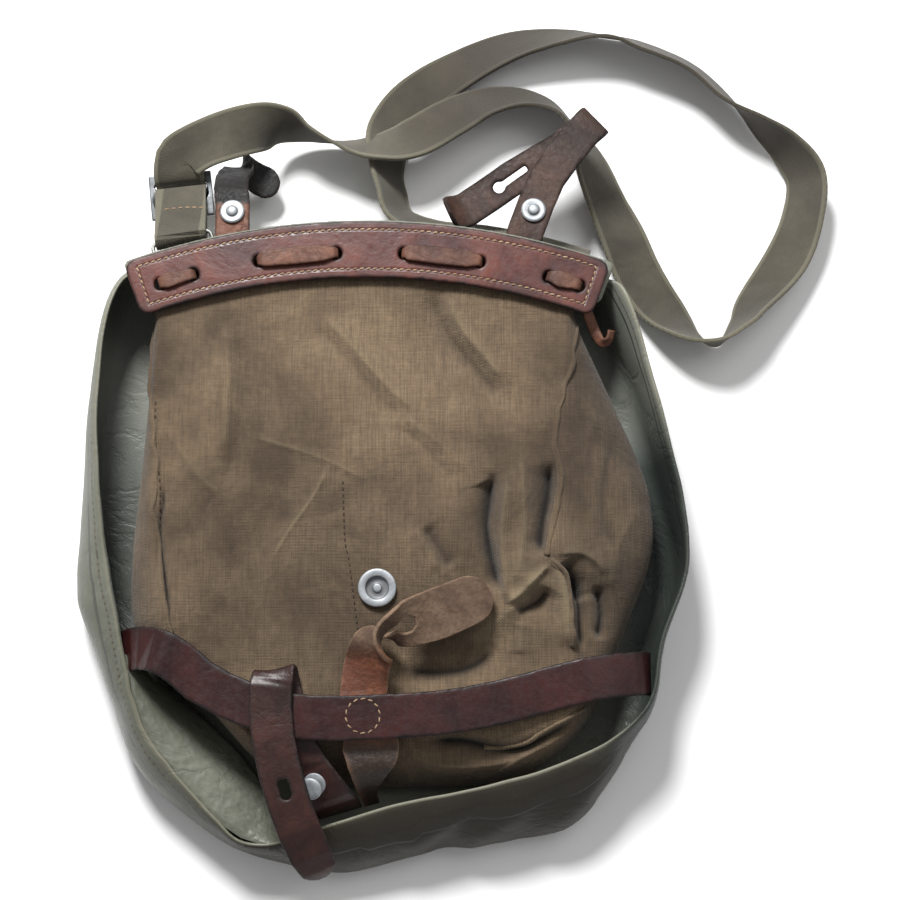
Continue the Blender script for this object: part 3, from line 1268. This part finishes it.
# %% [markdown]
# ## The tongue
# The tongue comes up behind the cross strap and curls over to the right, rough side up. It is a strip
# along a route too. Its surface is a grid whose faces are left out inside the keyhole, and the grid's
# points beside the hole are pulled onto its outline, so that the cut is clean.

# %% Tongue route
LEATHER_THICK, TONGUE_WIDTH = 2.2, 22
CROSS_LEVEL = 50.56
# x and y as shares of the body's width and length, leather layers over the cross strap's level, turn and
# tilt in degrees, width as a share of the tongue's
TONGUE_ROUTE = [
    (-0.015, -0.366, -14.2, 14, 0, 0.34),
    (-0.020, -0.343, -8.091, 12, 0, 0.40),
    (-0.016, -0.316, -3.4, 8, 0, 0.74),
    (-0.014, -0.282, -2.7, 0, 0, 1.20),
    (-0.026, -0.240, -1.6, -2, 0, 1.00),
    (-0.024, -0.200, -1.3, -6, 0, 1.00),
    (-0.018, -0.164, 0.3, 4, 18, 1.00),
    (-0.006, -0.140, 3.0, 24, 38, 1.00),
    (0.016, -0.122, 4.4, 58, 40, 1.00),
    (0.044, -0.110, 3.6, 84, 20, 1.05),
    (0.086, -0.096, 2.2, 102, 4, 1.08),
    (0.132, -0.078, 1.6, 110, 0, 1.05),
    (0.172, -0.060, 1.4, 114, 0, 1.00),
]
KEYHOLE = {"share": 0.715, "eye": 8.4, "slot": 3.4, "long": 12}


def tongue_rows():
    """For each section: x, y and height in mm, tilt and turn in degrees, and share of the width."""
    return np.array([[x * BODY_WIDTH, y * BODY_LENGTH, CROSS_LEVEL + layers * LEATHER_THICK,
                      tilt, turn, wide] for x, y, layers, turn, tilt, wide in TONGUE_ROUTE])


def inside_keyhole(along, aside, total):
    """Distance to the keyhole's outline in mm, below zero inside it."""
    behind = KEYHOLE["share"] * total - along
    eye = math.hypot(behind, aside) - KEYHOLE["eye"] / 2
    slot = math.hypot(behind - min(max(behind, 0), KEYHOLE["long"]), aside) - KEYHOLE["slot"] / 2
    return min(eye, slot)


# %% Tongue mesh
def strip_with_hole(name, table, width, cell, hole, round_end):
    sections = tape_sections(table, cell)
    wide = fine_path(table, 3)[0][:, 5]
    total = sections[-1][0]
    columns = int(width * 1.2 / cell)
    work = bmesh.new()
    grid, gaps = [], {}
    for along, centre, across, up in sections:
        swell = float(np.interp(along / total * (len(wide) - 1), range(len(wide)), wide))
        share = (total - along) / (width / 2)
        swell *= math.sqrt(max(0.02, 1 - (1 - share) ** 2)) if round_end and share < 1 else 1
        ring = []
        for k in range(columns + 1):
            aside = (2 * k / columns - 1) * width / 2 * swell
            gap = hole(along, aside, total)
            if abs(gap) < cell * 0.75:
                lean_along = (hole(along + 0.05, aside, total) - gap) / 0.05
                lean_aside = (hole(along, aside + 0.05, total) - gap) / 0.05
                run = up.cross(across)
                spot = centre + across * (aside - gap * lean_aside) - run * gap * lean_along
                gap = 0.0
            else:
                spot = centre + across * aside
            point = work.verts.new(spot * MM)
            gaps[point] = gap
            ring.append(point)
        grid.append(ring)
    for first, second in zip(grid[:-1], grid[1:]):
        for k in range(columns):
            corners = (first[k], first[k + 1], second[k + 1], second[k])
            here = [gaps[c] for c in corners]
            if min(here) > -0.001 and max(here) > 0.001:
                work.faces.new(corners)
    bmesh.ops.delete(work, geom=[v for v in work.verts if not v.link_faces], context="VERTS")
    return mesh_from(work, name, turn_out=False)


tongue = show("tongue", strip_with_hole("tongue", tongue_rows(), TONGUE_WIDTH, 0.8, inside_keyhole, True),
              suede, ["centre_tongue"], "suede")
body = tongue.modifiers.new("body", "SOLIDIFY")
body.thickness = 0.0020
body.offset = 0
step = tongue.modifiers.new("soft", "SUBSURF")
step.levels = step.render_levels = 1
keep_result(tongue)
mesh = tongue.data
points = points_of(mesh)
nap_height = np.array([cloud(p, 0.004, 3.3) * 0.16 + cloud(p, 0.0016, 6.1) * 0.10 for p in points])
points += normals_of(mesh) * (nap_height * MM)[:, None]
move_to(mesh, points)
mark_edges(mesh, 1.2, 2)
print("tongue faces:", len(mesh.polygons))

# %% [markdown]
# The doubled piece between ring and slide is short, so its copy is enough: its long edges are
# bevelled, and its map coordinates come straight from its place.

# %% Anchor


def softened_copy(name, node, material, slot, bevel, levels=1):
    piece = show(name, welded_copy(node), material, [node], slot)
    cut = piece.modifiers.new("bevel", "BEVEL")
    cut.width = bevel
    cut.segments = 2
    cut.limit_method = "ANGLE"
    cut.angle_limit = math.radians(50)
    step = piece.modifiers.new("soft", "SUBSURF")
    step.levels = step.render_levels = levels
    keep_result(piece)
    return piece


anchor = softened_copy("anchor_tape", "strap_anchor", webbing, "webbing", 0.0005)
uv = anchor.data.uv_layers.new(name="tape")
corner_points = points_of(anchor.data)
for loop in anchor.data.loops:
    x, y, z = corner_points[loop.vertex_index]
    uv.data[loop.index].uv = (x + 0.0995, y - 0.6 * z)
ring = softened_copy("ring_wire", "strap_ring", ring_steel, "ring_steel", 0.0002, 2)
slide = softened_copy("slide_plate", "slide_buckle", buckle_steel, "buckle_steel", 0.0004, 1)
anchor_height = finder(anchor)
ANCHOR_LINE = [(163, 209), (185, 207), (207, 208)]
row = on_cloth(to_places(ANCHOR_LINE, 0.036), 0.0034, anchor_height)
stitches("anchor_stitches", row, tan_thread, 0.0026, 0.0008, slot="webbing")
print("anchor faces:", len(anchor.data.polygons), "stitches:", len(row))

# %% [markdown]
# The cross strap has a ring of stitches in its middle, where it was once sewn to the flap.

# %% Ring of stitches on the cross strap
strap_height = finder(straps["cross_strap"])
CIRCLE_MIDDLE = place_of(363, 716, 0.050)
CIRCLE_RADIUS, CIRCLE_STITCHES = 0.0078, 14
row = []
for k in range(CIRCLE_STITCHES):
    angle = (k + 0.5) / CIRCLE_STITCHES * 2 * math.pi
    x = CIRCLE_MIDDLE[0] + CIRCLE_RADIUS * math.cos(angle)
    y = CIRCLE_MIDDLE[1] + CIRCLE_RADIUS * math.sin(angle)
    z, normal = strap_height(x, y, 0.05)
    row.append((Vector((x, y, z)), Vector((-math.sin(angle), math.cos(angle), 0)), normal))
stitches("circle_stitches", row, tan_thread, 0.0026, 0.0008, slant=0.2, slot="strap_leather")
print("circle stitches:", len(row))

# %% [markdown]
# ## Rivets and studs
# All are turned shapes, so each is a profile spun round its own axis in 64 steps. The profiles are in
# millimetres, from the washer behind the leather to the head in front.

# %% Turned metal


def turned(name, profile, centre, up, node, dirty, steps=64):
    """Spins a profile. Dirt lies between two radii and below a height, all in mm."""
    centre = Vector(centre) * MM
    up = Vector(up).normalized()
    side = up.orthogonal().normalized()
    other = up.cross(side)
    work = bmesh.new()
    rings = []
    for radius, height in profile:
        if radius == 0:
            rings.append([work.verts.new(centre + up * height * MM)])
            continue
        ring = []
        for k in range(steps):
            angle = 2 * math.pi * k / steps
            out = side * math.cos(angle) + other * math.sin(angle)
            ring.append(work.verts.new(centre + (out * radius + up * height) * MM))
        rings.append(ring)
    for first, second in zip(rings[:-1], rings[1:]):
        for k in range(steps):
            j = (k + 1) % steps
            if len(first) == 1:
                work.faces.new((first[0], second[j], second[k]))
            elif len(second) == 1:
                work.faces.new((first[k], first[j], second[0]))
            else:
                work.faces.new((first[k], first[j], second[j], second[k]))
    piece = show(name, mesh_from(work, name), aluminium, [node], "aluminium")
    cut = piece.modifiers.new("bevel", "BEVEL")
    cut.width = 0.00015
    cut.segments = 2
    cut.limit_method = "ANGLE"
    cut.angle_limit = math.radians(35)
    keep_result(piece)
    away = (points_of(piece.data) - np.array(centre)) / MM
    height = away @ np.array(up)
    reach = np.linalg.norm(away - height[:, None] * np.array(up), axis=1)
    inner, outer, top = dirty
    soiled = (reach > inner) & (reach < outer) & (height < top) & (height > 0)
    mark(piece.data, "dirt", soiled.astype(float))


RIVET = [(0, -2.55), (3.6, -2.55), (3.6, -1.65), (2, -1.65), (2, 1.65), (5.8, 1.65), (6, 1.85), (5.9, 2.2),
         (5.2, 2.75), (4.0, 2.7), (3.0, 2.55), (2.6, 2.7), (2.4, 3.3), (2.1, 3.6), (1.2, 3.95), (0, 4.05)]
POUCH_STUD = [(0, -2.3), (4.5, -2.3), (4.5, -1.5), (2, -1.5), (2, 0.3), (8.3, 0.3), (8.9, 0.9), (9, 2.0),
              (8.7, 2.35), (8.2, 2.5), (6.2, 2.45), (5.6, 2.2), (5.2, 0.75), (4.6, 0.45), (2.6, 0.4),
              (2.1, 0.6), (1.9, 1.3), (1.3, 1.5), (0, 1.45)]
CLOSING_STUD = [(0, -2.45), (3.15, -2.45), (3.15, -1.65), (2, -1.65), (2, 1.65), (5.1, 1.65), (5.25, 1.9),
                (5.25, 2.4), (4.6, 2.7), (2.9, 3.15), (2.2, 3.85), (2.2, 6.25), (3.15, 6.85), (5.0, 7.2),
                (5.25, 7.5), (5.25, 8.4), (4.9, 8.75), (4.2, 9.1), (2.4, 9.2), (0, 9.2)]
RIVET_DIRT = (2.3, 3.2, 3.0)
TURNED = [
    ("tab_rivet", RIVET, (-73.46, 166.03, 41.79), (-0.014, 0.084, 0.996), "belt_rivet_left", RIVET_DIRT),
    ("loop_rivet", RIVET, (73.07, 166.73, 42.4), (0.005, 0.013, 1.0), "belt_rivet_right", RIVET_DIRT),
    ("panel_stud", POUCH_STUD, (-1.5, -17.6, 46.27), (0.0, -0.065, 0.998), "pouch_stud", (1.95, 5.4, 1.7)),
    ("strap_stud", CLOSING_STUD, (-29.54, -106.97, 38.35), (-0.229, -0.374, 0.899), "closing_stud",
     (0.0, 3.0, 6.6)),
]
for row in TURNED:
    turned(*row)
print("metal pieces:", len(TURNED))

# %% [markdown]
# ## Floor and light
# A pale floor and soft studio light. The main light comes from beyond the band and a little from the
# left, so the flap's left walls are bright and its lower walls are dark, as in the photograph. The
# standard view transform keeps the white floor white.

# %% Floor
floor_mesh = bpy.data.meshes.new("floor")
FLOOR_REACH = 3.0
corners = [(x * FLOOR_REACH, y * FLOOR_REACH, 0) for x, y in ((-1, -1), (1, -1), (1, 1), (-1, 1))]
floor_mesh.from_pydata(corners, [], [(0, 1, 2, 3)])
floor = bpy.data.objects.new("floor", floor_mesh)
bpy.context.scene.collection.objects.link(floor)
floor_mesh.materials.append(Surface("floor", Roughness=0.7, Base_Color=(0.97, 0.97, 0.97, 1)).material)

# %% Lights


def soft_light(name, spot, aim, size, power):
    data = bpy.data.lights.new(name, "AREA")
    data.shape = "DISK"
    data.size = size
    data.energy = power
    lamp = bpy.data.objects.new(name, data)
    lamp.location = spot
    lamp.rotation_euler = (Vector(spot) - Vector(aim)).to_track_quat("Z", "Y").to_euler()
    bpy.context.scene.collection.objects.link(lamp)


soft_light("key", (-0.25, 0.95, 1.05), (0.02, 0.05, 0.02), 0.38, 30)
soft_light("fill", (0.7, 0.6, 1.3), (0.02, 0.05, 0.02), 1.0, 4)
world = bpy.data.worlds.new("studio")
world.use_nodes = True
world.node_tree.nodes["Background"].inputs["Color"].default_value = (1, 1, 1, 1)
world.node_tree.nodes["Background"].inputs["Strength"].default_value = 0.33
bpy.context.scene.world = world
bpy.context.scene.view_settings.view_transform = "Standard"
